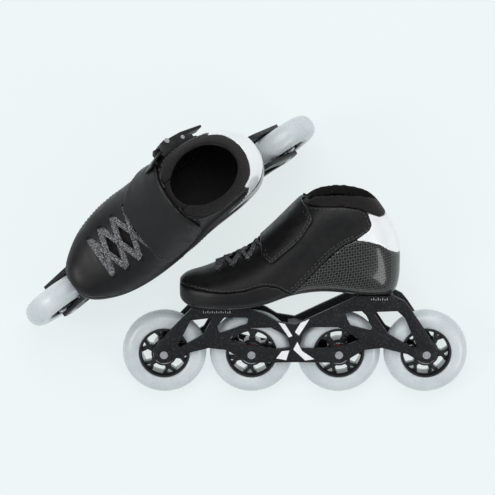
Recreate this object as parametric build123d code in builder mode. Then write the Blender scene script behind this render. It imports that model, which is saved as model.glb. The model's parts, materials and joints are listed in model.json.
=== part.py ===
from build123d import *
import os
from math import atan2, copysign, cos, degrees, pi, radians, sin

# A pair of low-cut speed skates, right foot each.  Every piece is modelled once in the
# skate's own frame and then placed twice.  Skate frame, in mm: X forwards to the toe,
# Y to the inner (left) side, Z up, with the origin on the ground midway between the
# first and the last wheel.

# ---- Wheels and bearings
wheel_diameter = 84.0
wheel_width = 24.0
wheel_gap = 3.3               # between neighbouring wheels
wheel_count = 4
hub_radius = 25.5             # the hub's rim, where the tyre is moulded on
hub_rim_wall = 3.0
hub_rim_width = 20.0
hub_web_width = 9.0
hub_boss_wall = 2.4           # around the bearing seat
hub_boss_width = 23.6
spoke_width = 4.2
spoke_count = 6
bearing_bore = 8.0
bearing_diameter = 22.0
bearing_width = 7.0
bearing_spread = 10.2         # clear distance between a wheel's two bearings
inner_ring_wall = 1.7
outer_ring_wall = 1.5
shield_gap = 0.45             # between the turning shield and the still inner ring
shield_thickness = 0.7
shield_recess = 0.3
spacer_wall = 1.2
running_gap = 0.05            # radial, pins and shafts
seat_gap = 0.04               # between faces that are clamped together

# ---- Frame
rail_thickness = 4.0
side_gap = 2.0                # from a wheel's side to the rail
deck_thickness = 4.0
wheel_clearance = 2.4         # from a wheel's top to the deck above it
heel_rise = 12.6              # heel deck above toe deck
toe_deck_front = 103.0
toe_deck_back = 49.0
heel_deck_front = -62.0
heel_deck_back = -97.0
mount_spacing = 165.0
toe_mount = 78.0              # front mounting bolt, ahead of the middle
mount_slot_length = 16.0
mount_bolt_radius = 3.0
mount_head_radius = 5.2
mount_head_height = 3.0
axle_head_radius = 6.5
axle_head_depth = 2.5
hex_flat = 5.0
axle_boss_radius = 8.2        # rail material round an axle
bearing_boss_radius = 5.3     # raised ring that bears on the inner ring

# ---- Boot
boot_length = 219.5
boot_width = 88.6
boot_height = 121.6           # toe deck to the collar's top
boot_heel = -104.0            # back of the heel
skin = 3.0                    # leather or carbon wall
collar_padding = 10.0
tongue_thickness = 3.5
sole_thickness = 6.0
footbed_thickness = 4.0
ankle_hole_length = 66.0
ankle_hole_width = 52.0
ankle_hole_centre = -45.0
lace_slot = 21.0
lace_width = 6.5
lace_thickness = 1.6
lace_crossings = 3
lace_half = 22.0              # from the middle to the eyelets
strap_thickness = 4.0

# ---- Ratchet buckle on the outer side
buckle_x = -40.0
buckle_height = 78.6          # above the toe deck
buckle_stand = 41.0           # from the boot's middle plane to the buckle's back
buckle_slope = 32.0           # degrees, rising towards the toe
buckle_floor = 1.6
ear_thickness = 2.0
ear_height = 6.4
ladder_width = 14.0
ladder_thickness = 1.6
ladder_tooth = 0.8
ladder_radius = 72.4          # the strap's inner face
ladder_clearance = 0.4
ladder_tail = 17.0            # degrees behind the buckle's middle
ladder_reach = 30.0           # degrees ahead of it
tooth_pitch = 2.4             # degrees
ladder_travel = 14.0          # degrees round the curve, from tight to loose
pin_radius = 1.5
pin_u = 11.0                  # lever pin, ahead of the buckle's middle
lever_length = 44.0
lever_thickness = 2.2
rivet_head = 2.5

# ---- How the two skates lie
stand_turn = -144.8           # degrees, the standing skate's heading
stand_x = -124.0              # its middle, from the lying skate's middle
stand_y = 169.0

wheel_radius = wheel_diameter / 2
pitch = wheel_diameter + wheel_gap
axle_z = wheel_radius
axles = [pitch * (1.5 - n) for n in range(wheel_count)]
rail_inner = wheel_width / 2 + side_gap
rail_outer = rail_inner + rail_thickness
toe_deck = wheel_diameter + wheel_clearance + deck_thickness
heel_deck = toe_deck + heel_rise
heel_mount = toe_mount - mount_spacing
bearing_face = bearing_spread / 2 + bearing_width
shaft_radius = bearing_bore / 2 - running_gap

# The boot's pattern is drawn for this size and graded to the sizes above.
drawn_length = 219.5
drawn_width = 88.6
drawn_height = 121.6
grade_length = boot_length / drawn_length
grade_width = boot_width / drawn_width
grade_height = boot_height / drawn_height


def pattern(points):
    """Points of the boot's side view: mm ahead of the heel and mm above the toe deck."""
    return [(boot_heel + x * grade_length, toe_deck + z * grade_height) for x, z in points]


# Cross-sections from heel to toe: distance from the heel, half width, shift to the inner
# side, bottom in shares of the heel rise, top, height share of the widest line, power of
# the upper curve (2 is an ellipse, more is squarer).
boot_sections = [
    (0.6, 9, 0, 2.55, 60, 0.50, 2.0),
    (2.0, 14, 0, 1.92, 68, 0.45, 2.0),
    (5.0, 20, 0, 1.35, 76, 0.40, 2.0),
    (10, 26, 0, 1.03, 86, 0.35, 2.1),
    (18, 31.5, 0, 1.00, 99, 0.32, 2.3),
    (29, 35, 0, 1.00, 112, 0.32, 2.8),
    (44, 37.5, 0, 1.08, 120, 0.35, 3.4),
    (62, 39, 0, 1.26, 121.6, 0.38, 3.6),
    (79, 40, 0, 1.32, 118, 0.36, 3.2),
    (94, 41.5, 0, 1.25, 109.5, 0.32, 2.7),
    (112, 43, 0, 1.00, 92.5, 0.30, 2.4),
    (129, 44, 0, 0.55, 75, 0.30, 2.2),
    (144, 44.3, 0, 0.24, 61.5, 0.32, 2.2),
    (159, 43.2, 0.4, 0.08, 52.5, 0.34, 2.2),
    (176, 40, 1.2, 0.02, 45.4, 0.36, 2.2),
    (190, 35.3, 2, 0.02, 39.6, 0.40, 2.2),
    (201, 29.5, 3, 0.05, 36.6, 0.42, 2.2),
    (209, 24, 3.8, 0.17, 34.6, 0.45, 2.2),
    (215.5, 17, 4.2, 0.45, 31, 0.50, 2.2),
    (218.8, 9.5, 4.4, 0.90, 27.5, 0.50, 2.0),
]
section_points = 16
sole_squareness = 3.4


def boot_form(inset):
    """The boot's whole body, drawn in by inset (a negative inset lets it out)."""
    middle = boot_heel + boot_length / 2
    shrink = 1 - 2 * inset / boot_length
    with BuildPart() as form:
        for ahead, half, shift, rise, top, share, power in boot_sections:
            x = middle + (boot_heel + ahead * grade_length - middle) * shrink
            bottom_z = toe_deck + rise * heel_rise
            top_z = toe_deck + top * grade_height
            z_inset = min(inset, (top_z - bottom_z) * 0.4)
            low, high = bottom_z + z_inset, top_z - z_inset
            wide_z = low + (high - low) * share
            half_width = max(half * grade_width - inset, 0.4 * half * grade_width)
            outline = []
            for n in range(section_points):
                turn = 2 * pi * n / section_points
                bend = power if sin(turn) >= 0 else sole_squareness
                reach = high - wide_z if sin(turn) >= 0 else wide_z - low
                across = copysign(abs(cos(turn)) ** (2 / bend), cos(turn))
                upwards = copysign(abs(sin(turn)) ** (2 / bend), sin(turn))
                outline.append((shift + half_width * across, wide_z + reach * upwards))
            with BuildSketch(Plane(origin=(x, 0, 0), x_dir=(0, 1, 0), z_dir=(1, 0, 0))):
                with BuildLine():
                    Spline(*outline, periodic=True)
                make_face()
        loft()
    return form.part


outer_form = boot_form(0)
inner_form = boot_form(skin)
padding_form = boot_form(collar_padding)
tongue_form = boot_form(skin + tongue_thickness)
lace_form = boot_form(-lace_thickness)
strap_form = boot_form(-strap_thickness)

# ---- Outlines of the boot's panels in side view
far_up = drawn_height + 40
far_down = -40
collar_line = [(16, 93), (23, 93.5), (35, 99), (44, 103.5), (60, 106), (94, 105)]
tab_line = [(35, 99), (31, 87.5), (33, 82.5), (46.5, 73)]
carbon_top = [(-10, 54), (4, 56), (12, 60), (22, 67), (34, 71), (46.5, 73)]
carbon_front = [(57.5, 68.5), (68.5, 60), (84.5, 44.5), (100.5, 27), (109, 19.5)]
sole_top = [(125, 12), (141, 8.5), (160, 6), (230, 6)]
rand_top = [(109, 19.5), (121.5, 27), (133, 29), (141, 28), (156, 23.2), (175, 20.8), (196, 22), (230, 26)]

collar_region = pattern(collar_line + [(94, far_up), (-30, far_up), (-30, 93)])
tab_region = pattern([(-30, 93)] + collar_line[:3] + tab_line[1:] + carbon_top[::-1][1:] + [(-30, 54)])
carbon_region = pattern(carbon_top + carbon_front + sole_top + [(230, far_down), (-30, far_down), (-30, 54)])
rand_region = pattern(rand_top + [(230, 6), (160, 6), (141, 8.5), (125, 12)])
strap_inner = pattern([(140, 74), (138, 57.5), (130, 51.2), (126, 52.4), (101.5, 73.8), (88, 94), (92, 103),
                       (103, 112)])
strap_region = strap_inner + pattern([(150, far_up)])
strap_outer_low = pattern([(-30, 60), (104, 72), (140, 66), (230, 66), (230, far_down), (-30, far_down)])


def side_prism(points, half_depth=90):
    """The closed side outline, extruded right across the boot."""
    with BuildPart() as prism:
        with BuildSketch(Plane.XZ):
            with BuildLine():
                Polyline(*points, close=True)
            make_face()
        extrude(amount=half_depth, both=True)
    return prism.part


def sole_band(low, high):
    """A layer that follows the boot's bottom, between two heights above it."""
    line = [(ahead, rise) for ahead, half, shift, rise, top, share, power in boot_sections]
    line = [(-2, 1.0), (12, 1.0)] + [p for p in line[5:-2]] + [(222, 0.02)]
    under = [(boot_heel + x * grade_length, toe_deck + r * heel_rise + low) for x, r in line]
    over = [(boot_heel + x * grade_length, toe_deck + r * heel_rise + high) for x, r in line]
    return side_prism(under + over[::-1])


collar_prism = side_prism(collar_region)
tab_prism = side_prism(tab_region)
carbon_prism = side_prism(carbon_region)
rand_prism = side_prism(rand_region)
sole_prism = sole_band(-6, sole_thickness)
footbed_prism = sole_band(sole_thickness, sole_thickness + footbed_thickness)

with BuildPart() as ankle_hole:
    with BuildSketch(Plane.XY.offset(toe_deck + heel_rise + 50)):
        with Locations((ankle_hole_centre, 0)):
            Ellipse(ankle_hole_length / 2, ankle_hole_width / 2)
    extrude(amount=boot_height)

# The slot in the vamp that the laces close: from the strap to the toe, with a round end
slot_back = boot_heel + 84 * grade_length
slot_front = boot_heel + 183 * grade_length
with BuildPart() as lace_opening:
    with BuildSketch(Plane.XY.offset(toe_deck + 28 * grade_height)):
        with Locations(((slot_back + slot_front) / 2, 0)):
            SlotOverall(slot_front - slot_back, lace_slot)
    extrude(amount=boot_height)

# The collar is open in front, over the tongue
with BuildPart() as throat:
    with BuildSketch(Plane.XY.offset(toe_deck + 60 * grade_height)):
        with Locations((slot_back + lace_slot, 0)):
            Rectangle(4 * lace_slot, 1.4 * lace_slot)
    extrude(amount=boot_height)

with BuildPart() as tongue_strip:
    with BuildSketch(Plane.XY.offset(toe_deck + 34 * grade_height)):
        with Locations(((slot_back + slot_front) / 2 - 8, 0)):
            Rectangle(slot_front - slot_back, 2 * lace_slot)
    extrude(amount=boot_height)

# ---- Boot
with BuildPart() as sole_plate:
    add(inner_form)
    add(sole_prism, mode=Mode.INTERSECT)

with BuildPart() as carbon_shell:
    add(outer_form)
    add(inner_form, mode=Mode.SUBTRACT)
    add(carbon_prism, mode=Mode.INTERSECT)
    add(sole_plate.part)
    for back, front, top in ((toe_deck_back, toe_deck_front, toe_deck),
                             (heel_deck_back, heel_deck_front, heel_deck)):
        with Locations(((back + front) / 2, 0, top + seat_gap)):
            Box(front - back + 8, 2 * rail_outer + 2, deck_thickness,
                align=(Align.CENTER, Align.CENTER, Align.MAX), mode=Mode.SUBTRACT)
    for mount_x, deck in ((toe_mount, toe_deck), (heel_mount, heel_deck)):
        with Locations((mount_x, 0, deck)):
            Cylinder(mount_bolt_radius + running_gap, 2 * sole_thickness - 1, mode=Mode.SUBTRACT)

with BuildPart() as heel_tab:
    add(outer_form)
    add(inner_form, mode=Mode.SUBTRACT)
    add(tab_prism, mode=Mode.INTERSECT)

with BuildPart() as collar:
    add(outer_form)
    add(padding_form, mode=Mode.SUBTRACT)
    add(collar_prism, mode=Mode.INTERSECT)
    add(ankle_hole.part, mode=Mode.SUBTRACT)
    add(throat.part, mode=Mode.SUBTRACT)

with BuildPart() as toe_rand:
    add(outer_form)
    add(inner_form, mode=Mode.SUBTRACT)
    add(rand_prism, mode=Mode.INTERSECT)

with BuildPart() as upper:
    add(outer_form)
    add(inner_form, mode=Mode.SUBTRACT)
    for cutter in (collar_prism, tab_prism, carbon_prism, rand_prism, lace_opening.part):
        add(cutter, mode=Mode.SUBTRACT)

with BuildPart() as tongue:
    add(inner_form)
    add(tongue_form, mode=Mode.SUBTRACT)
    add(tongue_strip.part, mode=Mode.INTERSECT)
    add(collar.part, mode=Mode.SUBTRACT)
    add(ankle_hole.part, mode=Mode.SUBTRACT)

with BuildPart() as footbed:
    add(inner_form)
    add(footbed_prism, mode=Mode.INTERSECT)

# The lace crosses the slot and lies on the vamp, one X between each two rows of eyelets
lace_back = boot_heel + 135 * grade_length
lace_front = boot_heel + 180 * grade_length
lace_step = (lace_front - lace_back) / lace_crossings
lace_span = 2 * lace_half + lace_width / 2
with BuildPart() as lace_strips:
    with BuildSketch(Plane.XY.offset(toe_deck + 28 * grade_height)):
        for n in range(lace_crossings):
            for side in (-1, 1):
                middle = lace_back + (n + 0.5) * lace_step
                with Locations(Location((middle, 0), side * (90 - degrees(atan2(lace_step, 2 * lace_half))))):
                    Rectangle(lace_span, lace_width)
    extrude(amount=boot_height)
with BuildPart() as laces:
    add(lace_form)
    add(outer_form, mode=Mode.SUBTRACT)
    add(lace_strips.part, mode=Mode.INTERSECT)

# ---- Wheel: modelled on its own axis, Z along the axle, then set on each axle
with BuildPart() as tyre:
    with BuildSketch(Plane.XZ):
        with BuildLine():
            half = wheel_width / 2
            side_line = Polyline((hub_radius, half - 1), (hub_radius + 5, half), (hub_radius + 8, half))
            crown = EllipticalCenterArc((hub_radius + 8, 0), wheel_radius - hub_radius - 8, half, arc_size=90)
            mirror(crown, about=Plane.XZ)
            mirror(side_line, about=Plane.XZ)
            Line((hub_radius, half - 1), (hub_radius, 1 - half))
        make_face()
    revolve(axis=Axis.Z)

hub_rim_inner = hub_radius - hub_rim_wall
seat_radius = bearing_diameter / 2
boss_radius = seat_radius + hub_boss_wall
with BuildPart() as hub:
    with BuildSketch():
        Circle(hub_radius)
        Circle(hub_rim_inner, mode=Mode.SUBTRACT)
    extrude(amount=hub_rim_width / 2, both=True)
    with BuildSketch():
        Circle(boss_radius)
    extrude(amount=hub_boss_width / 2, both=True)
    with BuildSketch():
        Circle(hub_rim_inner + 0.5)
        with PolarLocations(0, spoke_count):
            with BuildSketch(mode=Mode.PRIVATE) as window:
                Circle(hub_rim_inner - 0.4)
                Circle(boss_radius + 0.6, mode=Mode.SUBTRACT)
                with Locations((0, spoke_width / 2 + 40)):
                    Rectangle(200, 80, mode=Mode.INTERSECT)
                with Locations(Location((0, 0), 360 / spoke_count)):
                    Rectangle(200, spoke_width, mode=Mode.SUBTRACT)
                    with Locations((0, 40 + spoke_width / 2)):
                        Rectangle(200, 80, mode=Mode.SUBTRACT)
            add(window.sketch, mode=Mode.SUBTRACT)
    extrude(amount=hub_web_width / 2, both=True)
    Cylinder(seat_radius - 2.2, hub_boss_width, mode=Mode.SUBTRACT)
    for side in (-1, 1):
        with Locations((0, 0, side * (bearing_spread / 2 + hub_boss_width / 2))):
            Cylinder(seat_radius, hub_boss_width, mode=Mode.SUBTRACT)

inner_ring_radius = bearing_bore / 2 + inner_ring_wall
shield_inner = inner_ring_radius + shield_gap
outer_ring_inner = seat_radius - outer_ring_wall
bearing_middle = bearing_spread / 2 + bearing_width / 2
with BuildPart() as bearings:
    with Locations((0, 0, bearing_middle), (0, 0, -bearing_middle)):
        Cylinder(seat_radius, bearing_width)
        Cylinder(outer_ring_inner, bearing_width, mode=Mode.SUBTRACT)
    for side in (-1, 1):
        for face in (-1, 1):
            shield_z = side * bearing_middle + face * (bearing_width / 2 - shield_recess)
            with Locations((0, 0, shield_z - face * shield_thickness / 2)):
                Cylinder(outer_ring_inner + 0.2, shield_thickness)
    Cylinder(shield_inner, 4 * bearing_width + bearing_spread, mode=Mode.SUBTRACT)

with BuildPart() as inner_rings:
    with Locations((0, 0, bearing_middle), (0, 0, -bearing_middle)):
        Cylinder(inner_ring_radius, bearing_width)
        Cylinder(bearing_bore / 2, bearing_width, mode=Mode.SUBTRACT)

with BuildPart() as spacer:
    Cylinder(bearing_bore / 2 + running_gap + spacer_wall, bearing_spread - 2 * seat_gap)
    Cylinder(bearing_bore / 2, bearing_spread, mode=Mode.SUBTRACT)

# Axle bolt: flush head on the outer side with a hexagon socket; its end is flush in the inner rail
head_seat = rail_outer - axle_head_depth
with BuildPart() as axle_bolt:
    with Locations((0, 0, (head_seat - rail_outer) / 2)):
        Cylinder(shaft_radius, rail_outer + head_seat)
    with Locations((0, 0, rail_outer - axle_head_depth / 2)):
        Cylinder(axle_head_radius - running_gap, axle_head_depth)
    fillet(axle_bolt.edges().group_by(Axis.Z)[-1], 0.5)
    with BuildSketch(Plane.XY.offset(rail_outer)):
        RegularPolygon(hex_flat / 2, 6, major_radius=False)
    extrude(amount=-axle_head_depth + 0.4, mode=Mode.SUBTRACT)

# ---- Frame: two pierced rails, two decks and a bridge between the middle wheels
a1, a2, a3, a4 = axles
low_boss = axle_z - axle_boss_radius
rail_outline = [
    (toe_deck_front, toe_deck), (toe_deck_back, toe_deck), (a2 - 14.5, toe_deck - 7),
    (18, toe_deck - 14), (0, toe_deck - 17), (-25, heel_deck - 17.5),
    (heel_deck_front, heel_deck), (heel_deck_back, heel_deck), (a4 + 23, heel_deck - 5.5),
    (a4 + 17, heel_deck - 13), (a4 - 11, axle_z + 6), (a4 - 9.5, axle_z - 3.5), (a4 - 3.5, low_boss),
    (a4 + 5, axle_z - 7.5), (a4 + 19, axle_z + 1), (a3 - 42.5, axle_z + 7.5), (a3 - 25, axle_z + 5.5),
    (a3 - 8, axle_z - 5), (a3, low_boss), (a3 + 8, low_boss + 0.5), (0, low_boss + 1),
    (a2 - 8, low_boss + 0.5), (a2, low_boss), (a2 + 8, axle_z - 5), (a2 + 25, axle_z + 5.5),
    (a2 + 42.5, axle_z + 7.5), (a1 - 19, axle_z + 1), (a1 - 5, axle_z - 7.5), (a1 + 3.5, low_boss),
    (a1 + 9.5, axle_z - 3.5), (a1 + 11, axle_z + 6), (a1 - 6, axle_z + 25),
]
rail_windows = [
    [(a1 - 27, toe_deck - 12.5), (a1 - 49, toe_deck - 9.7), (a1 - 39, axle_z + 21), (a1 - 11, axle_z + 5)],
    [(a2 + 34, toe_deck - 18.5), (a2 + 27, toe_deck - 9.5), (a2 + 3, toe_deck - 9.5),
     (a2 + 4.5, toe_deck - 16.5), (a2 + 32, axle_z + 22)],
    [(a2 + 25, axle_z + 16.5), (a2, axle_z + 9.5), (a2 - 25, axle_z + 6), (a2 - 39, axle_z + 7.5),
     (a2 - 35.5, axle_z + 20), (a2 - 19, axle_z + 28.5), (a2, axle_z + 28), (a2 + 10.5, axle_z + 24)],
    [(a3 - 22.5, axle_z + 15.5), (a3 - 10.5, axle_z + 11.5), (a3 + 15, axle_z + 6.5),
     (a3 + 39.5, axle_z + 7), (a3 + 36.5, axle_z + 22), (a3 + 28.5, axle_z + 29),
     (a3 + 1.5, axle_z + 29), (a3 - 10.5, axle_z + 23.5)],
    [(a3 - 4.5, heel_deck - 16.5), (a3 - 22, heel_deck - 15.5), (a3 - 26.5, heel_deck - 20),
     (a3 - 34.5, axle_z + 24), (a3 - 11, axle_z + 30.5)],
    [(a4 + 54, heel_deck - 16.5), (a4 + 30, heel_deck - 15.5), (a4 + 22.5, heel_deck - 22.5),
     (a4 + 9.5, axle_z + 8.5), (a4 + 12, axle_z + 6), (a4 + 39, axle_z + 22)],
]
window_round = 2.2
bridge_half = 7.0
with BuildPart() as frame:
    for side in (-1, 1):
        with BuildSketch(Plane(origin=(0, side * rail_inner, 0), x_dir=(1, 0, 0), z_dir=(0, -1, 0))):
            with BuildLine():
                Polyline(*rail_outline, close=True)
            make_face()
            with Locations(*[(x, axle_z) for x in axles]):
                Circle(axle_boss_radius)
            for window in rail_windows:
                with BuildSketch(mode=Mode.PRIVATE) as opening:
                    with BuildLine():
                        Polyline(*window, close=True)
                    make_face()
                    fillet(opening.vertices(), window_round)
                add(opening.sketch, mode=Mode.SUBTRACT)
        extrude(amount=-side * rail_thickness)
    for back, front, top in ((toe_deck_back, toe_deck_front, toe_deck),
                             (heel_deck_back, heel_deck_front, heel_deck)):
        with Locations(((back + front) / 2, 0, top - deck_thickness / 2)):
            Box(front - back, 2 * rail_inner + 1, deck_thickness)
    with Locations((0, 0, toe_deck - 23)):
        Box(2 * bridge_half, 2 * rail_inner + 1, 10)
    for side in (-1, 1):
        bearing_seat = bearing_face + seat_gap
        for x in axles:
            with Locations(Location((x, side * (rail_inner + bearing_seat) / 2, axle_z), (90, 0, 0))):
                Cylinder(bearing_boss_radius, rail_inner - bearing_seat + 0.01)
    for x in axles:
        with Locations(Location((x, 0, axle_z), (90, 0, 0))):
            Cylinder(bearing_bore / 2, 2 * rail_outer, mode=Mode.SUBTRACT)
        with Locations(Location((x, axle_head_depth / 2 - rail_outer, axle_z), (90, 0, 0))):
            Cylinder(axle_head_radius, axle_head_depth, mode=Mode.SUBTRACT)
    for mount_x, deck in ((toe_mount, toe_deck), (heel_mount, heel_deck)):
        with BuildSketch(Plane.XY.offset(deck)):
            with Locations((mount_x, 0)):
                SlotOverall(mount_slot_length, 2 * (mount_bolt_radius + running_gap))
        extrude(amount=-deck_thickness, mode=Mode.SUBTRACT)

with BuildPart() as mount_bolts:
    for mount_x, deck in ((toe_mount, toe_deck), (heel_mount, heel_deck)):
        under = deck - deck_thickness - seat_gap
        with Locations((mount_x, 0, under - mount_head_height)):
            Cylinder(mount_head_radius, mount_head_height, align=(Align.CENTER, Align.CENTER, Align.MIN))
        with Locations((mount_x, 0, under - 0.5)):
            Cylinder(mount_bolt_radius, deck - under + sole_thickness - 1,
                     align=(Align.CENTER, Align.CENTER, Align.MIN))
        with BuildSketch(Plane.XY.offset(under - mount_head_height)):
            with Locations((mount_x, 0)):
                RegularPolygon(hex_flat / 2, 6, major_radius=False)
        extrude(amount=mount_head_height - 1, mode=Mode.SUBTRACT)

with BuildPart() as axle_bolts:
    with Locations(*[Location((x, 0, axle_z), (90, 0, 0)) for x in axles]):
        add(axle_bolt.part)
with BuildPart() as bearing_inner_rings:
    with Locations(*[Location((x, 0, axle_z), (-90, 0, 0)) for x in axles]):
        add(inner_rings.part)
with BuildPart() as bearing_spacers:
    with Locations(*[Location((x, 0, axle_z), (-90, 0, 0)) for x in axles]):
        add(spacer.part)

# ---- Ratchet buckle: U along the strap towards the toe, V across it, W outwards
slope = radians(buckle_slope)
buckle_origin = (buckle_x, -buckle_stand, toe_deck + buckle_height * grade_height)
buckle_plane = Plane(origin=buckle_origin, x_dir=(cos(slope), 0, sin(slope)), z_dir=(0, -1, 0))
arc_u = 4.0                                   # where the curved strap is furthest out
floor_radius = ladder_radius - ladder_clearance
arc_w = buckle_floor - floor_radius           # the strap's curve centre, inside the foot
across_plane = Plane(origin=buckle_plane.from_local_coords((arc_u, 0, arc_w)),
                     x_dir=buckle_plane.x_dir, z_dir=-buckle_plane.y_dir)
channel = ladder_width + 2 * ladder_clearance
ladder_outer = ladder_radius + ladder_thickness + ladder_tooth
pin_w = ladder_outer + 2.6 - floor_radius + buckle_floor
pin_centre = (pin_u - arc_u, pin_w - arc_w)   # seen along the pin, from the curve's centre
ear_outline = [(-21, floor_radius - 6), (17, floor_radius - 4), (17, floor_radius + 3),
               (14, floor_radius + ear_height), (-4, floor_radius + ear_height), (-21, floor_radius - 0.5)]


def arc_strip(radius, wall, from_turn, to_turn, width):
    """A strip bent round the strap's curve; turns are in degrees ahead of straight out."""
    with BuildPart() as strip:
        with BuildSketch(across_plane):
            with BuildLine():
                inside = CenterArc((0, 0), radius, 90 - to_turn, to_turn - from_turn)
                outside = CenterArc((0, 0), radius + wall, 90 - to_turn, to_turn - from_turn)
                Line(inside @ 0, outside @ 0)
                Line(inside @ 1, outside @ 1)
            make_face()
        extrude(amount=width / 2, both=True)
    return strip.part


with BuildPart() as ladder_strap:
    add(arc_strip(ladder_radius, ladder_thickness, -ladder_tail, ladder_reach, ladder_width))
    for n in range(int((ladder_tail + ladder_reach - 14) / tooth_pitch)):
        turn = tooth_pitch * (n + 0.5) - ladder_tail
        add(arc_strip(ladder_radius + 0.5, ladder_thickness + ladder_tooth - 0.5,
                      turn, turn + tooth_pitch / 2, ladder_width - 3))

# The room that the ladder strap needs on its way, right out to its loosest
ladder_path = arc_strip(ladder_radius - ladder_clearance,
                        ladder_thickness + ladder_tooth + 2 * ladder_clearance,
                        -ladder_tail - 2, ladder_reach + ladder_travel + 2,
                        ladder_width + 2 * ladder_clearance)
with BuildPart() as instep_strap:
    add(strap_form)
    add(outer_form, mode=Mode.SUBTRACT)
    add(side_prism(strap_region), mode=Mode.INTERSECT)
    with BuildSketch(Plane.XZ):
        with BuildLine():
            Polyline(*strap_outer_low, close=True)
        make_face()
    extrude(amount=boot_width, mode=Mode.SUBTRACT)
    add(laces.part, mode=Mode.SUBTRACT)
    add(ladder_path, mode=Mode.SUBTRACT)

boot_pieces = {"carbon_shell": carbon_shell, "heel_tab": heel_tab, "collar": collar,
               "toe_rand": toe_rand, "upper": upper, "tongue": tongue, "footbed": footbed,
               "laces": laces, "instep_strap": instep_strap}

with BuildPart() as buckle_base:
    add(arc_strip(floor_radius - 7, 7, -20, 16, channel + 2 * ear_thickness))
    for side in (-1, 1):
        ear_middle = side * (channel + ear_thickness) / 2
        with BuildSketch(across_plane.offset(ear_middle)):
            with BuildLine():
                Polyline(*ear_outline, close=True)
            make_face()
        extrude(amount=ear_thickness / 2, both=True)
    with BuildSketch(across_plane):
        with Locations(pin_centre):
            Circle(pin_radius)
    extrude(amount=channel, both=True, mode=Mode.SUBTRACT)
    add(outer_form, mode=Mode.SUBTRACT)
    add(instep_strap.part, mode=Mode.SUBTRACT)

with BuildPart() as buckle_pins:
    with BuildSketch(across_plane):
        with Locations(pin_centre):
            Circle(pin_radius)
    extrude(amount=channel / 2 + ear_thickness, both=True)
    for side in (-1, 1):
        for spot in (pin_centre, (-10, floor_radius + 1)):
            head_plane = across_plane.offset(side * (channel / 2 + ear_thickness))
            with BuildSketch(head_plane):
                with Locations(spot):
                    Circle(rivet_head if spot == pin_centre else 0.8 * rivet_head)
            extrude(amount=side * 0.8)

lever_low = pin_centre[1] - 1.6
lever_knuckle = pin_radius + 1.1
with BuildPart() as buckle_lever:
    with BuildSketch(across_plane):
        with BuildLine():
            Polyline((pin_centre[0], lever_low), (pin_centre[0] - 20, lever_low),
                     (pin_centre[0] - lever_length, lever_low - 2.6),
                     (pin_centre[0] - lever_length, lever_low - 2.6 + lever_thickness),
                     (pin_centre[0] - 20, lever_low + lever_thickness + 1),
                     (pin_centre[0], lever_low + lever_thickness + 1), close=True)
        make_face()
        with Locations(pin_centre):
            Circle(lever_knuckle)
    extrude(amount=ladder_width / 2, both=True)
    with BuildSketch(across_plane):
        with Locations(pin_centre):
            Circle(pin_radius + running_gap)
    extrude(amount=channel, both=True, mode=Mode.SUBTRACT)

# ---- The two placements: one skate lies on its outer side, the other stands on its wheels
flank_out = wheel_width / 2 - 0.4
flank_height = 0.15 * wheel_diameter / 2
bulge_out = boot_width / 2 - 0.8
bulge_height = toe_deck + 13.3 * grade_height
lean = atan2(bulge_out - flank_out, bulge_height - flank_height)   # rests on the tyres and the rand
lying_plane = Plane(origin=(0, 0, 0), x_dir=(-1, 0, 0), z_dir=(0, cos(lean), sin(lean)))
heading = radians(stand_turn)
standing_plane = Plane(origin=(stand_x, stand_y, 0), x_dir=(cos(heading), sin(heading), 0), z_dir=(0, 0, 1))
skate_pieces = {
    "frame": frame, "axle_bolts": axle_bolts, "bearing_inner_rings": bearing_inner_rings,
    "bearing_spacers": bearing_spacers, "mount_bolts": mount_bolts, **boot_pieces,
    "buckle_base": buckle_base, "buckle_pins": buckle_pins, "ladder_strap": ladder_strap,
    "buckle_lever": buckle_lever,
}
wheel_pieces = {"tyre": tyre, "hub": hub, "bearings": bearings}


def box_of(parts):
    """The lowest and highest corners of a list of parts."""
    boxes = [part.bounding_box() for part in parts]
    low = [min(getattr(b.min, axis) for b in boxes) for axis in "XYZ"]
    high = [max(getattr(b.max, axis) for b in boxes) for axis in "XYZ"]
    return low, high


placed = {}
for skate, plane in (("lying", lying_plane), ("standing", standing_plane)):
    for name, piece in skate_pieces.items():
        placed[f"{skate}_{name}"] = piece.part.moved(plane.location)
    for number, x in enumerate(axles, start=1):
        axle = plane.location * Location((x, 0, axle_z), (-90, 0, 0))
        for name, piece in wheel_pieces.items():
            placed[f"{skate}_{name}_{number}"] = piece.part.moved(axle)

# Each skate comes down to the floor, then the pair is centred over the origin.
skate_shift = {}
for skate in ("lying", "standing"):
    low, high = box_of([part for name, part in placed.items() if name.startswith(skate)])
    skate_shift[skate] = -low[2]
low, high = box_of(placed.values())
centre_shift = (-(low[0] + high[0]) / 2, -(low[1] + high[1]) / 2)

os.makedirs("parts", exist_ok=True)
for name, part in placed.items():
    rise = skate_shift[name.split("_")[0]]
    finished = part.moved(Location((centre_shift[0], centre_shift[1], rise)))
    finished.label = name
    export_step(finished, f"parts/{name}.step")

print("lean", degrees(lean), "heading", stand_turn)
print("shift", centre_shift, skate_shift, "box", low, high)
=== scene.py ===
import json
import math

import bmesh
import bpy
from mathutils import Matrix, Vector
from mathutils.bvhtree import BVHTree


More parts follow.
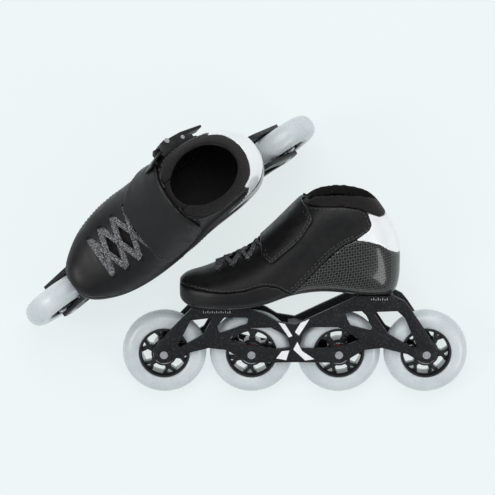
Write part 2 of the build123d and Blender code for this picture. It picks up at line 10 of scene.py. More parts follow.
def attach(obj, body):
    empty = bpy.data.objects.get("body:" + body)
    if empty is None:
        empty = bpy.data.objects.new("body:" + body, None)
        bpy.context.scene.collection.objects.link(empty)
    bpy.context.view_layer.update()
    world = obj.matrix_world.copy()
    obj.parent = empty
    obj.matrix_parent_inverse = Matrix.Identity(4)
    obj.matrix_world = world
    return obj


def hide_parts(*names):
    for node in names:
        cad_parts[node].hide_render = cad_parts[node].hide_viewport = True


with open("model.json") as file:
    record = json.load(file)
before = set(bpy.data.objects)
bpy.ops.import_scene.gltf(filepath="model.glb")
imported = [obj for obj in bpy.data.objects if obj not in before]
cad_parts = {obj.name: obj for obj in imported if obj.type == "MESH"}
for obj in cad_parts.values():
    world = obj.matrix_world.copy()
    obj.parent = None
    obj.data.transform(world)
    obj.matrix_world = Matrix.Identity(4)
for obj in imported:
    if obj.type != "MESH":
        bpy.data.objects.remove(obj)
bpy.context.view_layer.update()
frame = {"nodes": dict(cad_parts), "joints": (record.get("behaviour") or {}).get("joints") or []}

scene = bpy.context.scene
MM = 0.001

# ---- Camera
# The pair lies on a table and is seen from almost straight above, through a long lens,
# from the side where the lying skate's wheels are.
aim = Vector((0.000, 0.0060, 0.030))
camera_height_angle = math.radians(85)
camera_distance = 1.80
camera_data = bpy.data.cameras.new("Camera")
camera_data.lens = 130
camera_data.sensor_width = 36
camera = bpy.data.objects.new("Camera", camera_data)
away = Vector((0, -math.cos(camera_height_angle), math.sin(camera_height_angle)))
camera.location = aim + camera_distance * away
camera.rotation_euler = away.to_track_quat("Z", "Y").to_euler()
scene.collection.objects.link(camera)
scene.camera = camera

# ---- Where the two skates are
# Both are the same right-foot skate.  Each has its own frame: X to the toe, Y to the inner
# side, Z up through the boot, with the origin on the ground midway between its axles.
SKATES = ("lying", "standing")
joints = {joint["name"]: joint for joint in frame["joints"]}
wheel_radius = 42 * MM
skate_matrix = {}
for skate in SKATES:
    first = Vector(joints[f"{skate}_wheel_1_spin"]["pos_m"])
    last = Vector(joints[f"{skate}_wheel_4_spin"]["pos_m"])
    inward = Vector(joints[f"{skate}_wheel_1_spin"]["axis"]).normalized()
    forward = (first - last).normalized()
    upward = forward.cross(inward).normalized()
    origin = (first + last) / 2 - wheel_radius * upward
    turn = Matrix((forward, inward, upward)).transposed().to_4x4()
    skate_matrix[skate] = Matrix.Translation(origin) @ turn
axle_pitch = (first - last).length / 3
axle_x = [axle_pitch * (1.5 - n) for n in range(4)]


def put_on(name, mesh, body, material, replaced=(), smooth_angle=35):
    """Places a mesh made in the skate's frame on both skates, and hides the CAD nodes it replaces."""
    pieces = []
    local = mesh.attributes.new("in_skate", "FLOAT_VECTOR", "POINT")
    for vertex in mesh.vertices:
        local.data[vertex.index].vector = vertex.co
    mesh.materials.clear()
    mesh.materials.append(material)
    for skate in SKATES:
        placed = mesh.copy()
        placed.transform(skate_matrix[skate])
        placed.name = f"{skate}_{name}"
        placed.shade_smooth()
        placed.set_sharp_from_angle(angle=math.radians(smooth_angle))
        piece = bpy.data.objects.new(f"{skate}_{name}_look", placed)
        scene.collection.objects.link(piece)
        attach(piece, f"{skate}_{body}")
        if replaced:
            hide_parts(*[f"{skate}_{node}" for node in replaced])
        pieces.append(piece)
    bpy.data.meshes.remove(mesh)
    return pieces


def finish_mesh(form, name, recalculate=True):
    """Turns a bmesh into a mesh, with its faces pointing outwards."""
    if recalculate:
        bmesh.ops.recalc_face_normals(form, faces=form.faces)
    mesh = bpy.data.meshes.new(name)
    form.to_mesh(mesh)
    form.free()
    return mesh


def cad_copy(node):
    """The lying skate's CAD node as a merged bmesh in the skate's frame."""
    form = bmesh.new()
    form.from_mesh(frame["nodes"][f"lying_{node}"].data)
    bmesh.ops.remove_doubles(form, verts=form.verts, dist=2e-6)
    form.transform(skate_matrix["lying"].inverted())
    return form


def new_material(name, colour, roughness, metallic=0.0):
    """A node material with its shader's plain values set on the shader itself."""
    material = bpy.data.materials.new(name)
    material.use_nodes = True
    nodes = material.node_tree.nodes
    shader = nodes["Principled BSDF"]
    shader.inputs["Base Color"].default_value = (*colour, 1)
    shader.inputs["Roughness"].default_value = roughness
    shader.inputs["Metallic"].default_value = metallic
    return material, nodes, material.node_tree.links, shader


def place_node(nodes, links, attribute=True):
    """The point being shaded: in the skate's frame for made pieces, or in the row's frame."""
    if attribute:
        node = nodes.new("ShaderNodeAttribute")
        node.attribute_name = "in_skate"
        return node.outputs["Vector"]
    return nodes.new("ShaderNodeTexCoord").outputs["Object"]


def noise(nodes, links, where, scale, detail=3.0):
    node = nodes.new("ShaderNodeTexNoise")
    node.inputs["Scale"].default_value = scale
    node.inputs["Detail"].default_value = detail
    links.new(where, node.inputs["Vector"])
    return node.outputs["Fac"]


def ramp(nodes, links, value, stops):
    node = nodes.new("ShaderNodeValToRGB")
    elements = node.color_ramp.elements
    while len(elements) < len(stops):
        elements.new(0.5)
    for element, (place, colour) in zip(elements, stops):
        element.position = place
        element.color = (*colour, 1) if len(colour) == 3 else colour
    links.new(value, node.inputs["Fac"])
    return node.outputs["Color"]


def uneven(n, l, shader, socket, where, scale, low, high):
    """Lets one of a finish's inputs wander between two grey values."""
    patches = noise(n, l, where, scale)
    l.new(ramp(n, l, patches, [(0.3, (low,) * 3), (0.7, (high,) * 3)]), shader.inputs[socket])


def bump(nodes, links, shader, height, distance, strength=1.0, before=None):
    node = nodes.new("ShaderNodeBump")
    node.inputs["Distance"].default_value = distance
    node.inputs["Strength"].default_value = strength
    links.new(height, node.inputs["Height"])
    if before is not None:
        links.new(before, node.inputs["Normal"])
    links.new(node.outputs["Normal"], shader.inputs["Normal"])
    return node.outputs["Normal"]


def math_node(nodes, links, operation, first_value, second_value=None):
    node = nodes.new("ShaderNodeMath")
    node.operation = operation
    for socket, value in zip(node.inputs, (first_value, second_value)):
        if value is None:
            continue
        if isinstance(value, (int, float)):
            socket.default_value = value
        else:
            links.new(value, socket)
    return node.outputs[0]


# ---- Frame
# Two milled aluminium rails on two decks, hard coated in charcoal with a fine sparkle.
# The edges are broken, and the coat is a little lighter where it has rubbed.
coat, n, l, shader = new_material("charcoal_coat", (0.014, 0.0145, 0.016), 0.42, 0.1)
shader.inputs["Specular IOR Level"].default_value = 0.25
where = place_node(n, l)
specks = n.new("ShaderNodeTexVoronoi")
specks.inputs["Scale"].default_value = 1400
l.new(where, specks.inputs["Vector"])
l.new(ramp(n, l, specks.outputs["Color"], [(0.0, (0.006, 0.0062, 0.007)), (0.75, (0.014, 0.0145, 0.016)),
                                         (0.95, (0.07, 0.072, 0.076))]), shader.inputs["Base Color"])
uneven(n, l, shader, "Roughness", where, 60, 0.34, 0.5)
bump(n, l, shader, noise(n, l, where, 2500), 0.00006, 0.5)


def break_edges(form, width):
    """Joins the faces that lie flat together and rounds every sharp edge over a width."""
    bmesh.ops.dissolve_limit(form, angle_limit=math.radians(1), verts=form.verts, edges=form.edges)
    corners = [edge for edge in form.edges if len(edge.link_faces) == 2
               and edge.calc_face_angle() > math.radians(50)]
    bmesh.ops.bevel(form, geom=corners, offset=width, affect="EDGES", segments=2, profile=0.5,
                    material=-1, clamp_overlap=True)


form = cad_copy("frame")
break_edges(form, 0.45 * MM)
put_on("frame", finish_mesh(form, "frame", False), "skate", coat, ["frame"])

# ---- White bars and ruler lines on the rails
# Thin printed marks: four slanted bars round the middle of each rail, and a scale of short
# lines beside each mounting slot.
print_white, n, l, shader = new_material("white_print", (0.82, 0.83, 0.84), 0.4)
where = place_node(n, l)
l.new(ramp(n, l, noise(n, l, where, 900), [(0.3, (0.74, 0.75, 0.76)), (0.6, (0.86, 0.87, 0.88))]),
      shader.inputs["Base Color"])
rail_side = 18 * MM
print_height = 0.12 * MM
mark_width = 0.35
mark_pitch = 2.2
bars = [[(17, 76), (10.5, 74.4), (3.0, 62), (6.5, 60.5)],
        [(-5, 75.5), (-14, 79.5), (-3.5, 62.5), (0.5, 66)],
        [(6, 47), (13.5, 46.2), (19, 38.8), (9, 37)],
        [(-2, 56), (2, 48), (-10, 36.6), (-19, 38.0), (-6.5, 46.6)]]
form = bmesh.new()
for side in (-1, 1):
    outlines = [[(x, z) for x, z in bar] for bar in bars]
    for middle, height, count in ((78, 85.4, 13), (-83, 98.6, 8)):
        for mark in range(count):
            x = middle + (mark - (count - 1) / 2) * mark_pitch
            tall = 2.4 if mark % 2 == 0 else 1.4
            outlines.append([(x, height), (x + mark_width, height), (x + mark_width, height + tall),
                             (x, height + tall)])
    for outline in outlines:
        corners = [form.verts.new((x * MM, side * rail_side, z * MM)) for x, z in outline]
        face = form.faces.new(corners)
        raised = bmesh.ops.extrude_face_region(form, geom=[face])
        lifted = [v for v in raised["geom"] if isinstance(v, bmesh.types.BMVert)]
        bmesh.ops.translate(form, verts=lifted, vec=(0, side * print_height, 0))
put_on("rail_print", finish_mesh(form, "rail_print"), "skate", print_white)

# ---- Axle bolts, mounting bolts, spacers and inner rings
# Bright turned aluminium and steel, with the fine rings that a lathe leaves.
bright, n, l, shader = new_material("turned_metal", (0.72, 0.73, 0.75), 0.24, 1.0)
where = place_node(n, l, attribute=False)
l.new(ramp(n, l, noise(n, l, where, 350), [(0.3, (0.6, 0.61, 0.63)), (0.7, (0.8, 0.81, 0.83))]),
      shader.inputs["Base Color"])
uneven(n, l, shader, "Roughness", where, 1500, 0.18, 0.34)
for skate in SKATES:
    for node in ("axle_bolts", "mount_bolts", "bearing_inner_rings", "bearing_spacers", "buckle_pins"):
        cad = frame["nodes"][f"{skate}_{node}"]
        cad.data.materials.clear()
        cad.data.materials.append(bright)

# ---- Tyres
# Cast polyurethane, milky and a little see-through, with a round crown worn matt where it
# rolls and smooth, bulging sides.
urethane, n, l, shader = new_material("milky_urethane", (0.60, 0.64, 0.66), 0.3)
shader.inputs["Subsurface Weight"].default_value = 0.55
shader.inputs["Subsurface Radius"].default_value = (0.9, 1.0, 1.0)
shader.inputs["Subsurface Scale"].default_value = 0.006
shader.inputs["Coat Weight"].default_value = 0.15
where = place_node(n, l)
l.new(ramp(n, l, noise(n, l, where, 45), [(0.3, (0.55, 0.60, 0.625)), (0.7, (0.66, 0.70, 0.72))]),
      shader.inputs["Base Color"])
uneven(n, l, shader, "Roughness", where, 400, 0.22, 0.4)
bump(n, l, shader, noise(n, l, where, 700), 0.00003, 0.4)
tyre_profile = [(25.5, 0), (25.5, 10.6), (26.2, 11.3), (28, 11.8), (31, 12), (33.5, 11.9), (36, 11.1),
                (38.4, 9.5),
                (40.2, 7.3), (41.4, 4.6), (41.9, 2.2), (42, 0)]
profile = tyre_profile + [(radius, -half) for radius, half in tyre_profile[-2:0:-1]]


def turned(form, outline, centre_x, steps=96):
    """Spins a closed outline of (radius, across) round an axle."""
    start = [form.verts.new((centre_x, y * MM, wheel_radius + radius * MM)) for radius, y in outline]
    edges = [form.edges.new((start[i], start[(i + 1) % len(start)])) for i in range(len(start))]
    bmesh.ops.spin(form, geom=start + edges, cent=(centre_x, 0, wheel_radius), axis=(0, 1, 0),
                   angle=2 * math.pi, steps=steps, use_merge=True)


for number, x in enumerate(axle_x, start=1):
    form = bmesh.new()
    turned(form, profile, x)
    put_on(f"tyre_{number}", finish_mesh(form, "tyre"), f"wheel_{number}", urethane,
           [f"tyre_{number}"], 60)

# ---- Hubs
# Glossy black moulded nylon: a rim that the tyre is cast onto, a bearing boss, and six spokes
# that split at the rim, so three large and three small windows alternate between them.
nylon, n, l, shader = new_material("gloss_nylon", (0.012, 0.012, 0.013), 0.16)
shader.inputs["Coat Weight"].default_value = 0.4
where = place_node(n, l)
uneven(n, l, shader, "Roughness", where, 300, 0.12, 0.26)
l.new(ramp(n, l, noise(n, l, where, 90), [(0.3, (0.008, 0.008, 0.009)), (0.7, (0.02, 0.02, 0.022))]),
      shader.inputs["Base Color"])
bump(n, l, shader, noise(n, l, where, 1200), 0.00002, 0.5)
hub_rim = [(25.5, -10), (25.5, 10), (24.9, 10.8), (23.4, 10.8), (22.6, 9.8), (22.3, 4.5), (22.3, -4.5),
           (22.6, -9.8), (23.4, -10.8), (24.9, -10.8)]
hub_boss = [(13.2, -4), (13.2, 4), (12.9, 10.8), (12.3, 11.7), (11.2, 11.7), (11.0, 11.2), (11.0, 5.2),
            (8.8, 5.2), (8.8, -5.2), (11.0, -5.2), (11.0, -11.2), (11.2, -11.7), (12.3, -11.7),
            (12.9, -10.8)]
spoke_half_depth = 4.6


def hub_bar(form, centre_x, start, end, wide_start, wide_end, deep):
    """One spoke arm between two (radius, degrees) points, its rims rounded."""
    ends = []
    for (radius, turn), wide in ((start, wide_start), (end, wide_end)):
        angle = math.radians(turn)
        middle = Vector((radius * math.cos(angle), 0, radius * math.sin(angle)))
        ends.append((middle, wide))
    along = (ends[1][0] - ends[0][0]).normalized()
    across = Vector((-along.z, 0, along.x))
    ring = []
    for middle, wide in ends:
        for side, depth in ((-1, -1), (1, -1), (1, 1), (-1, 1)):
            point = middle + across * side * wide / 2
            corner = (centre_x + point.x * MM, depth * deep * MM, wheel_radius + point.z * MM)
            ring.append(form.verts.new(corner))
    low, high = ring[:4], ring[4:]
    faces = [form.faces.new(low), form.faces.new(high[::-1])]
    faces += [form.faces.new((low[i], high[i], high[(i + 1) % 4], low[(i + 1) % 4])) for i in range(4)]
    edges = list({edge for face in faces for edge in face.edges})
    bmesh.ops.bevel(form, geom=edges, offset=0.5 * MM, affect="EDGES", segments=2, profile=0.5, material=-1)


for number, x in enumerate(axle_x, start=1):
    form = bmesh.new()
    turned(form, hub_rim, x, 72)
    turned(form, hub_boss, x, 60)
    offset_turn = 17 * number
    for spoke in range(6):
        turn = offset_turn + 60 * spoke
        hub_bar(form, x, (12.6, turn), (17.5, turn), 7.2, 5.2, spoke_half_depth)
        for lean_side in (-1, 1):
            reach = 15 if spoke % 2 == 0 else 11
            hub_bar(form, x, (16.2, turn), (23.2, turn + lean_side * reach), 3.6, 3.2, spoke_half_depth)
    put_on(f"hub_{number}", finish_mesh(form, "hub"), f"wheel_{number}", nylon,
           [f"hub_{number}"], 40)

# ---- Bearings
# 608 bearings: a bright outer ring, pressed into the boss, and a dark red shield that is
# clipped into it a little below the face, with a narrow groove where it turns past the bore.
shield_red, n, l, shader = new_material("shield_red", (0.20, 0.012, 0.02), 0.32, 0.5)
where = place_node(n, l)
l.new(ramp(n, l, noise(n, l, where, 500), [(0.3, (0.15, 0.008, 0.014)), (0.7, (0.26, 0.02, 0.03))]),
      shader.inputs["Base Color"])
bump(n, l, shader, noise(n, l, where, 1800), 0.00001, 0.4)
ring_steel, n, l, shader = new_material("ring_steel", (0.6, 0.61, 0.62), 0.2, 1.0)
where = place_node(n, l)
uneven(n, l, shader, "Roughness", where, 800, 0.14, 0.3)
outer_ring = [(9.5, 5.15), (11.0, 5.15), (11.0, 11.85), (10.75, 12.1), (9.75, 12.1), (9.5, 11.9)]
shield = [(6.15, 11.1), (9.5, 11.1), (9.5, 11.75), (9.2, 11.85), (8.6, 11.6), (7.0, 11.6), (6.6, 11.8),
          (6.15, 11.8)]
for number, x in enumerate(axle_x, start=1):
    for piece_name, outline, material in (("bearing_rings", outer_ring, ring_steel),
                                          ("bearing_shields", shield, shield_red)):
        form = bmesh.new()
        for side in (-1, 1):
            turned(form, [(radius, side * y) for radius, y in outline], x, 48)
        put_on(f"{piece_name}_{number}", finish_mesh(form, piece_name), f"wheel_{number}",
               material, [f"bearings_{number}"], 40)

# ---- Carbon shell
# Moulded heel cup and sole of twill carbon cloth under clear lacquer.  The weave's cells are
# 2.8 mm across.  Painted highlight: the light the weave catches is painted in, alternate twill cells
#                                    lighter and each cell lighter towards its edges.
carbon, n, l, shader = new_material("carbon_weave", (0.02, 0.02, 0.02), 0.3)
shader.inputs["Coat Weight"].default_value = 0.55
shader.inputs["Coat Roughness"].default_value = 0.06
shader.inputs["Specular IOR Level"].default_value = 0.3
weave_uv = n.new("ShaderNodeAttribute")
weave_uv.attribute_name = "in_skate"
split = n.new("ShaderNodeSeparateXYZ")
l.new(weave_uv.outputs["Vector"], split.inputs[0])
cell = 2.8 * MM
round_heel = math_node(n, l, "MULTIPLY", split.outputs["Y"], 0.9)
warp_place = math_node(n, l, "ADD", split.outputs["X"], math_node(n, l, "ABSOLUTE", round_heel))
u = math_node(n, l, "DIVIDE", warp_place, cell)
v = math_node(n, l, "DIVIDE", split.outputs["Z"], cell)
bent_v = math_node(n, l, "ADD", v, math_node(n, l, "MULTIPLY", u, 0.12))
cell_u = math_node(n, l, "FLOOR", u)
cell_v = math_node(n, l, "FLOOR", bent_v)
twill = math_node(n, l, "PINGPONG", math_node(n, l, "ADD", cell_u, cell_v), 1.0)
hump_u = math_node(n, l, "PINGPONG", u, 0.5)
hump_v = math_node(n, l, "PINGPONG", bent_v, 0.5)
tow = math_node(n, l, "MULTIPLY", hump_u, hump_v)
# Painted highlight: each cell is painted dark in its middle and lighter towards its edges, and alternate
# twill cells are painted lighter still.
painted_cell_edge_highlight = math_node(n, l, "SUBTRACT", 1.0, math_node(n, l, "MULTIPLY", tow, 4.0))
painted_twill_highlight = math_node(n, l, "ADD", math_node(n, l, "MULTIPLY", twill, 0.6), 0.4)
painted_weave_highlight = math_node(n, l, "MULTIPLY", painted_twill_highlight, painted_cell_edge_highlight)
# The painted highlight becomes base colour here, black in the cells' middles and grey on their painted-lit
# edges.
l.new(ramp(n, l, painted_weave_highlight, [(0.3, (0.001, 0.001, 0.001)), (0.62, (0.003, 0.003, 0.003)),
                         (0.85, (0.035, 0.035, 0.033)), (1.0, (0.13, 0.13, 0.125))]),
      shader.inputs["Base Color"])
bump(n, l, shader, tow, 0.0004, 0.35)


def softened(node, voxel, rounds, name):
    """The CAD node's body in even small faces, its edges worn round as sewn leather is."""
    form = cad_copy(node)
    rough = bpy.data.meshes.new(name)
    form.to_mesh(rough)
    form.free()
    holder = bpy.data.objects.new(name, rough)
    scene.collection.objects.link(holder)
    even = holder.modifiers.new("Even", "REMESH")
    even.mode = "VOXEL"
    even.voxel_size = voxel
    ready = holder.evaluated_get(bpy.context.evaluated_depsgraph_get())
    form = bmesh.new()
    form.from_mesh(ready.to_mesh())
    ready.to_mesh_clear()
    bpy.data.objects.remove(holder)
    bpy.data.meshes.remove(rough)
    for _ in range(rounds):
        bmesh.ops.smooth_vert(form, verts=form.verts, factor=0.5, use_axis_x=True, use_axis_y=True,
                              use_axis_z=True)
    return form


form = softened("carbon_shell", 1.2 * MM, 3, "carbon_shell")
put_on("carbon_shell", finish_mesh(form, "carbon_shell", False), "skate", carbon,
       ["carbon_shell"], 80)

# ---- Leather: upper, toe rand and instep strap
# Full-grain black leather with a satin finish: fine pebbled grain, faint creases and a little
# more shine where it is rubbed.  Panels are cut, skived and sewn, so every edge is round.
leather, n, l, shader = new_material("black_leather", (0.02, 0.02, 0.021), 0.42)
shader.inputs["Specular IOR Level"].default_value = 0.32
where = place_node(n, l)
grain = n.new("ShaderNodeTexVoronoi")
grain.feature = "DISTANCE_TO_EDGE"
grain.inputs["Scale"].default_value = 950
l.new(where, grain.inputs["Vector"])
stain = noise(n, l, where, 40, 5)
l.new(ramp(n, l, stain, [(0.3, (0.003, 0.003, 0.0035)), (0.7, (0.0085, 0.008, 0.0085))]),
      shader.inputs["Base Color"])
uneven(n, l, shader, "Roughness", where, 120, 0.34, 0.52)
folds = bump(n, l, shader, noise(n, l, where, 70, 6), 0.0006, 0.25)
bump(n, l, shader, grain.outputs["Distance"], 0.00012, 0.5, before=folds)
leather_looks = {}
panels = (("upper", 1.1 * MM, 4), ("toe_rand", 1.1 * MM, 3), ("instep_strap", 1.0 * MM, 5))
for node, voxel, rounds in panels:
    form = softened(node, voxel, rounds, node)
    leather_looks[node] = form.copy()
    put_on(node, finish_mesh(form, node, False), "skate", leather, [node], 80)

# ---- Heel tab
# White coated leather over the top of the heel, glossy, with a very fine grain.
white_coat, n, l, shader = new_material("white_coated_leather", (0.86, 0.87, 0.88), 0.2)
shader.inputs["Coat Weight"].default_value = 0.6
where = place_node(n, l)
l.new(ramp(n, l, noise(n, l, where, 30), [(0.3, (0.80, 0.81, 0.82)), (0.7, (0.90, 0.905, 0.91))]),
      shader.inputs["Base Color"])
bump(n, l, shader, noise(n, l, where, 1100), 0.00004, 0.5)
form = softened("heel_tab", 1.0 * MM, 3, "heel_tab")
leather_looks["heel_tab"] = form.copy()
put_on("heel_tab", finish_mesh(form, "heel_tab", False), "skate", white_coat, ["heel_tab"], 80)

# ---- Collar and tongue
# Foam pads under a dark knitted lining: the collar rings the ankle, and the tongue lies under
# the laces and rises behind the strap.
lining, n, l, shader = new_material("dark_knit", (0.025, 0.022, 0.021), 0.85)
shader.inputs["Specular IOR Level"].default_value = 0.2
shader.inputs["Sheen Weight"].default_value = 0.06
shader.inputs["Sheen Roughness"].default_value = 0.5
where = place_node(n, l)
knit = n.new("ShaderNodeTexVoronoi")
knit.inputs["Scale"].default_value = 1100
l.new(where, knit.inputs["Vector"])
l.new(ramp(n, l, knit.outputs["Distance"], [(0.0, (0.030, 0.026, 0.024)), (0.6, (0.007, 0.006, 0.006))]),
      shader.inputs["Base Color"])
bump(n, l, shader, knit.outputs["Distance"], 0.0003, 0.7)
for node, rounds in (("collar", 7), ("tongue", 4)):
    form = softened(node, 1.3 * MM, rounds, node)
    leather_looks[node] = form.copy()
    for pad in put_on(node, finish_mesh(form, node, False), "skate", lining, [node], 80):
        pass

# ---- Footbed
# Black felt over foam, dusty and matt, lying loose in the shell.
felt, n, l, shader = new_material("black_felt", (0.012, 0.012, 0.013), 0.95)
where = place_node(n, l)
l.new(ramp(n, l, noise(n, l, where, 1500), [(0.35, (0.006, 0.006, 0.006)), (0.7, (0.03, 0.03, 0.03))]),
      shader.inputs["Base Color"])
bump(n, l, shader, noise(n, l, where, 2200), 0.0002, 0.6)
form = softened("footbed", 1.6 * MM, 3, "footbed")
put_on("footbed", finish_mesh(form, "footbed", False), "skate", felt, ["footbed"], 80)

# ---- Laces and eyelets
# One flat heather-grey lace, 6.5 mm wide, straight across the front pair of punched eyelets and
# crossing on its way back under the strap.  It is pulled tight, close over the tongue.
skin_tree = BVHTree.FromBMesh(leather_looks["upper"])
lace_knit, n, l, shader = new_material("heather_lace", (0.14, 0.14, 0.145), 0.8)
where = place_node(n, l)
flecks = n.new("ShaderNodeTexNoise")
flecks.inputs["Scale"].default_value = 1300
flecks.inputs["Detail"].default_value = 1.0
l.new(where, flecks.inputs["Vector"])
l.new(ramp(n, l, flecks.outputs["Fac"], [(0.44, (0.008, 0.008, 0.009)), (0.52, (0.07, 0.07, 0.073)),
                                         (0.62, (0.32, 0.32, 0.33))]), shader.inputs["Base Color"])
bump(n, l, shader, flecks.outputs["Fac"], 0.0003, 0.6)
eyelet_rows = [(31, 24), (46.5, 23.5), (62, 22.5), (76.5, 20.5)]
slot_half = 10.6
lace_wide, lace_thick = 5.8, 1.3


def skin_under(x, y):
    """The leather's height and direction straight below a point, in the skate's frame."""
    hit, normal, _, _ = skin_tree.ray_cast(Vector((x * MM, y * MM, 0.26)), Vector((0, 0, -1)))
    return hit, normal


band = ((-0.5, -0.25), (-0.42, 0.35), (0, 0.5), (0.42, 0.35), (0.5, -0.25), (0.42, -0.5), (-0.42, -0.5))


def ribbon(form, points, directions, wide, thick):
    """A flat band along points, its width along the matching directions."""
    rings = []
    for n_point, (point, across) in enumerate(zip(points, directions)):
        along = (points[min(n_point + 1, len(points) - 1)] - points[max(n_point - 1, 0)]).normalized()
        up = across.cross(along).normalized()
        if up.z < 0:
            up = -up
        side = up.cross(along).normalized()
        ring = []
        for s, t in band:
            ring.append(form.verts.new(point + side * s * wide * MM + up * t * thick * MM))
        rings.append(ring)
    for first_ring, next_ring in zip(rings, rings[1:]):
        for i in range(7):
            form.faces.new((first_ring[i], first_ring[(i + 1) % 7], next_ring[(i + 1) % 7], next_ring[i]))
    form.faces.new(rings[0][::-1])
    form.faces.new(rings[-1])


form = bmesh.new()
lace_runs = [(eyelet_rows[-1], eyelet_rows[-1], 1, False)]
for row in range(len(eyelet_rows) - 1):
    for side in (-1, 1):
        lace_runs.append((eyelet_rows[row], eyelet_rows[row + 1], side, (side > 0) == (row % 2 == 0)))
for (start_x, start_half), (end_x, end_half), side, over in lace_runs:
    points, directions = [], []
    steps = 24
    along = Vector((end_x - start_x, side * (start_half + end_half), 0)).normalized()
    for step in range(steps + 1):
        share = step / steps
        x = start_x + (end_x - start_x) * share
        y = side * (-start_half + (start_half + end_half) * share)
        reach = max(abs(y), slot_half)
        hit, normal = skin_under(x, math.copysign(reach, y))
        while hit is None and reach < 30:
            reach += 0.5
            hit, normal = skin_under(x, math.copysign(reach, y))
        crown = 2.2 * (1 - min(abs(y), slot_half) ** 2 / slot_half ** 2)
        sink = -1.7 * max(0.0, abs(2 * share - 1) - 0.95) / 0.05
        cross = (1.2 if over else 0.0) * math.exp(-((share - 0.5) / 0.16) ** 2)
        points.append(Vector((x * MM, y * MM, hit.z + (0.75 + crown + cross + sink) * MM)))
        directions.append(Vector((-along.y, along.x, 0)))
    ribbon(form, points, directions, lace_wide, lace_thick)
put_on("laces", finish_mesh(form, "laces"), "skate", lace_knit, ["laces"], 60)

eyelet_black, n, l, shader = new_material("eyelet_enamel", (0.01, 0.01, 0.011), 0.25, 0.6)
where = place_node(n, l)
uneven(n, l, shader, "Roughness", where, 900, 0.2, 0.4)
form = bmesh.new()
for x, half in eyelet_rows:
    for side in (-1, 1):
        hit, normal = skin_under(x, side * (half + 0.6))
        if hit is None:
            continue
        turn = normal.to_track_quat("Z", "Y").to_matrix().to_4x4()
        section = [(2.1, 0.1), (2.4, 0.55), (2.9, 0.6), (3.3, 0.1)]
        start = [form.verts.new((radius * MM, 0, height * MM)) for radius, height in section]
        edges = [form.edges.new((start[i], start[i + 1])) for i in range(3)]
        bmesh.ops.spin(form, geom=start + edges, cent=(0, 0, 0), axis=(0, 0, 1), angle=2 * math.pi,
                       steps=20, use_merge=True)
        ring = [v for v in form.verts if v.tag is False]
        bmesh.ops.transform(form, matrix=Matrix.Translation(hit) @ turn, verts=ring)
        for vertex in form.verts:
            vertex.tag = True
put_on("eyelets", finish_mesh(form, "eyelets"), "skate", eyelet_black, (), 50)

# ---- Stitching
# Black bonded thread, 3 mm stitches along the panels' edges, in double rows on the strap.
thread, n, l, shader = new_material("bonded_thread", (0.05, 0.05, 0.052), 0.5)
where = place_node(n, l)
uneven(n, l, shader, "Base Color", where, 2500, 0.03, 0.085)
bump(n, l, shader, noise(n, l, where, 3000), 0.0001, 0.5)
whole = bmesh.new()
for form in leather_looks.values():
    part_mesh = bpy.data.meshes.new("part")
    form.to_mesh(part_mesh)
    whole.from_mesh(part_mesh)
    bpy.data.meshes.remove(part_mesh)
surface_tree = BVHTree.FromBMesh(whole)
stitch_length, stitch_gap, stitch_radius = 2.3, 0.9, 0.36
seams = {
    "rand": ([(109, 22), (122, 29.5), (133, 31.5), (141, 30.5), (156, 25.8), (175, 23.4), (196, 24.6),
              (212, 27)], (1, -1)),
    "quarter": ([(48, 75.5), (58, 71), (70, 62.5), (86, 47), (102, 29.5), (110, 22.5)], (1, -1)),
    "quarter_inner": ([(49, 77.5), (59, 73), (71.5, 64.5), (87.5, 49), (103.5, 31.5), (111, 25)], (1, -1)),
    "lobe": ([(37.5, 97), (33.8, 88), (35.5, 83.5), (47, 75.8)], (1, -1)),
    "collar": ([(38, 98.5), (45, 101.7), (60, 104), (92, 103.2)], (1, -1)),
    "strap": ([(137.5, 72), (135.5, 59), (129.5, 53.8), (126, 55), (103, 75.5), (90.5, 94), (94, 101),
               (101, 107)], (1,)),
    "strap_inner": ([(135.5, 71), (133.5, 60.5), (129, 56.2), (126.5, 57.2), (104.5, 77), (93, 94),
                     (96, 99), (102, 104.5)], (1,)),
}


def along_line(line, step):
    """Evenly spaced points along a line of (x, z) points, rounded at its corners."""
    fine = []
    for i in range(len(line) - 1):
        before, a, b, after = line[max(i - 1, 0)], line[i], line[i + 1], line[min(i + 2, len(line) - 1)]
        for k in range(20):
            t = k / 20
            fine.append(Vector([
                0.5 * (2 * a[c] + (b[c] - before[c]) * t
                       + (2 * before[c] - 5 * a[c] + 4 * b[c] - after[c]) * t ** 2
                       + (3 * a[c] - before[c] - 3 * b[c] + after[c]) * t ** 3) for c in (0, 1)]))
    fine.append(Vector(line[-1]))
    spaced, walked = [fine[0]], 0.0
    for start, end in zip(fine, fine[1:]):
        walked += (end - start).length
        if walked >= step:
            spaced.append(end)
            walked = 0.0
    return spaced


form = bmesh.new()
for line, sides in seams.values():
    for side in sides:
        hits = []
        for x, z in along_line(line, (stitch_length + stitch_gap) / 2):
            start = Vector(((x - 104) * MM, side * 0.12, (z + 90.4) * MM))
            hit, normal, _, _ = surface_tree.ray_cast(start, Vector((0, -side, 0)))
            if hit is not None and hit.y * side > 0:
                hits.append((hit, normal))
            else:
                hits.append(None)
        for first_hit, next_hit in zip(hits[0::2], hits[1::2]):
            if first_hit is None or next_hit is None:
                continue
            a = first_hit[0] + first_hit[1] * 0.12 * MM
            b = next_hit[0] + next_hit[1] * 0.12 * MM
            if (b - a).length > 3.5 * MM or (b - a).length < 0.4 * MM:
                continue
            b = a + (b - a).normalized() * stitch_length * MM
            turn = (b - a).to_track_quat("Z", "Y").to_matrix().to_4x4()
            place = Matrix.Translation((a + b) / 2) @ turn
            length = (b - a).length
            bmesh.ops.create_cone(form, cap_ends=True, segments=5, radius1=stitch_radius * MM,
                                  radius2=stitch_radius * MM, depth=length, matrix=place)
put_on("stitching", finish_mesh(form, "stitching"), "skate", thread, (), 80)

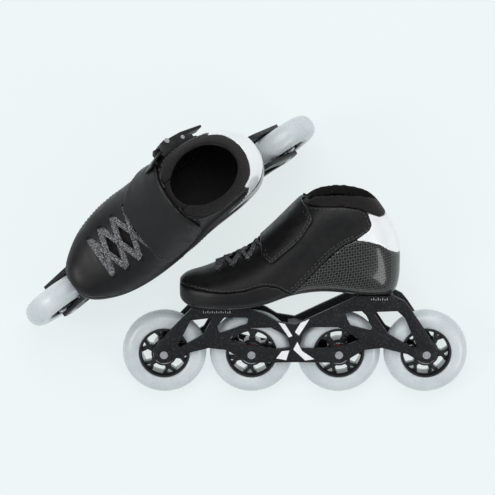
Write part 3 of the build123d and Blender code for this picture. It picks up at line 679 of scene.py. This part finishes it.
# ---- Ratchet buckle and ladder strap
# Black nylon mouldings with a fine satin texture, and bright steel pins.
buckle_black, n, l, shader = new_material("buckle_nylon", (0.012, 0.012, 0.013), 0.36)
shader.inputs["Specular IOR Level"].default_value = 0.3
where = place_node(n, l)
uneven(n, l, shader, "Roughness", where, 500, 0.28, 0.48)
uneven(n, l, shader, "Base Color", where, 120, 0.008, 0.022)
bump(n, l, shader, noise(n, l, where, 2000), 0.00006, 0.5)
for node, body in (("buckle_base", "skate"), ("ladder_strap", "ladder"), ("buckle_lever", "lever")):
    form = cad_copy(node)
    break_edges(form, 0.3 * MM)
    put_on(node, finish_mesh(form, node, False), body, buckle_black, [node])

# ---- Floor, background and light
# A pale light table under soft studio light: it glows a little, so shadows on it are faint.
floor_paint, n, l, shader = new_material("pale_floor", (0.16, 0.17, 0.17), 0.9)
shader.inputs["Specular IOR Level"].default_value = 0.0
shader.inputs["Emission Color"].default_value = (0.86, 0.93, 0.93, 1)
shader.inputs["Emission Strength"].default_value = 0.80
form = bmesh.new()
bmesh.ops.create_grid(form, x_segments=1, y_segments=1, size=3.0)
floor_mesh = bpy.data.meshes.new("floor")
form.to_mesh(floor_mesh)
form.free()
floor_mesh.materials.append(floor_paint)
floor = bpy.data.objects.new("floor", floor_mesh)
floor.location.z = -0.0005
scene.collection.objects.link(floor)
world = bpy.data.worlds.new("Studio")
world.use_nodes = True
world.node_tree.nodes["Background"].inputs["Color"].default_value = (0.93, 0.97, 1.0, 1)
world.node_tree.nodes["Background"].inputs["Strength"].default_value = 0.42
scene.world = world
scene.view_settings.view_transform = "Standard"
lights = [("overhead", (0.1, 0.7, 1.5), 1.2, 14), ("window", (-1.3, -0.3, 1.2), 0.8, 9),
          ("fill", (1.2, -0.8, 0.9), 0.7, 6)]
for name, spot, size, power in lights:
    light_data = bpy.data.lights.new(name, "AREA")
    light_data.shape = "SQUARE"
    light_data.size = size
    light_data.energy = power
    light = bpy.data.objects.new(name, light_data)
    light.location = spot
    light.rotation_euler = (Vector(spot) - aim).to_track_quat("Z", "Y").to_euler()
    scene.collection.objects.link(light)
